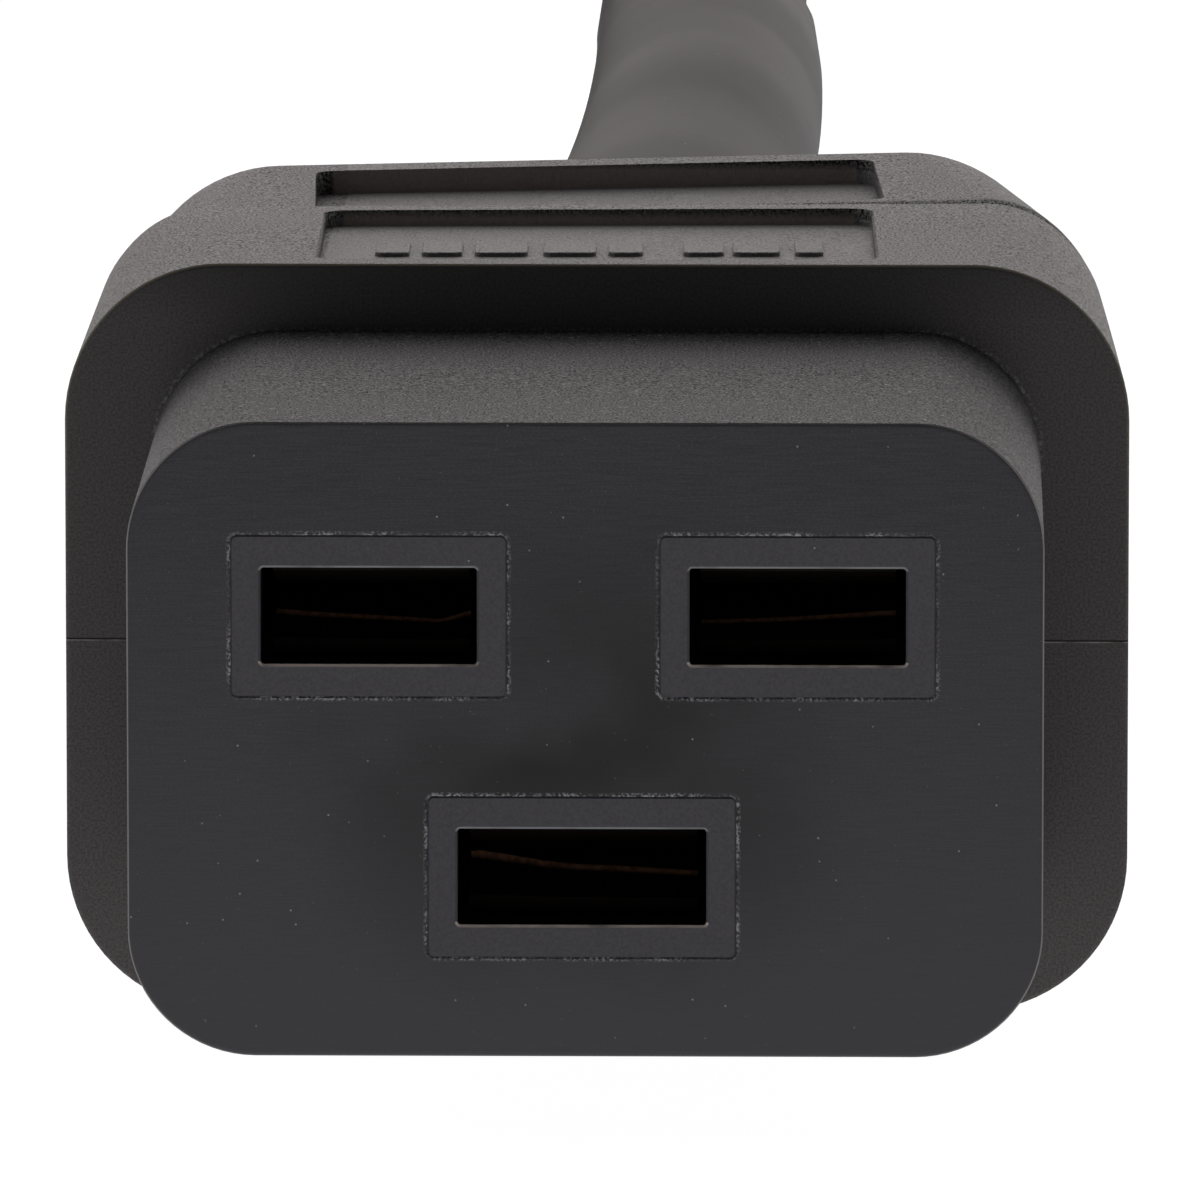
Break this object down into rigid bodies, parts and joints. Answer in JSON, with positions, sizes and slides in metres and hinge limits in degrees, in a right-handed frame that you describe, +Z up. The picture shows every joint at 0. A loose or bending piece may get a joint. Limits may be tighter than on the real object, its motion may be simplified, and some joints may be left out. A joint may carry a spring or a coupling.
{
  "type": "c19 power connector",
  "caption": "Moulded power connector for high-current inlets: rectangular nose with rectangular contact slots, flanged grip with top recesses, strain relief and tied cord with a mains plug.",
  "frame": {"origin": "bottom centre of the connector without its free cord, halfway from the mating face to the end of the strain relief", "axes": "+Y from the mating face back along the connector to the cord, +Z up, +X to the right as seen when facing the contact slots"},
  "size_m": [0.1164, 0.4505, 0.026],
  "materials": {
    "nose_plastic": "fine spark-eroded matte",
    "insert_plastic": "fine matte",
    "grip_pvc": "soft matte moulding",
    "cord_pvc": "smooth extruded jacket",
    "contact_bronze": "bare strip",
    "copper": "bare strands",
    "core_black": "smooth insulation",
    "core_white": "smooth insulation",
    "core_green": "smooth insulation",
    "plated_blade": "satin nickel plate",
    "tie_fabric": "woven strap"
  },
  "bodies": {
    "root": {"coil_tie": "tie_fabric", "cord_coil": "cord_pvc", "cord_run": "cord_pvc", "earth_contact": "contact_bronze", "earth_core": "core_green", "earth_insert": "insert_plastic", "earth_strands": "copper", "grip_body": "grip_pvc", "line_contact": "contact_bronze", "line_core": "core_black", "line_insert": "insert_plastic", "line_strands": "copper", "neutral_contact": "contact_bronze", "neutral_core": "core_white", "neutral_insert": "insert_plastic", "neutral_strands": "copper", "nose_moulding": "nose_plastic", "plug_body": "grip_pvc", "plug_carrier": "nose_plastic", "plug_earth_core": "core_green", "plug_earth_pin": "plated_blade", "plug_earth_strands": "copper", "plug_line_blade": "plated_blade", "plug_line_core": "core_black", "plug_line_strands": "copper", "plug_neutral_blade": "plated_blade", "plug_neutral_core": "core_white", "plug_neutral_strands": "copper"}
  },
  "joints": []
}
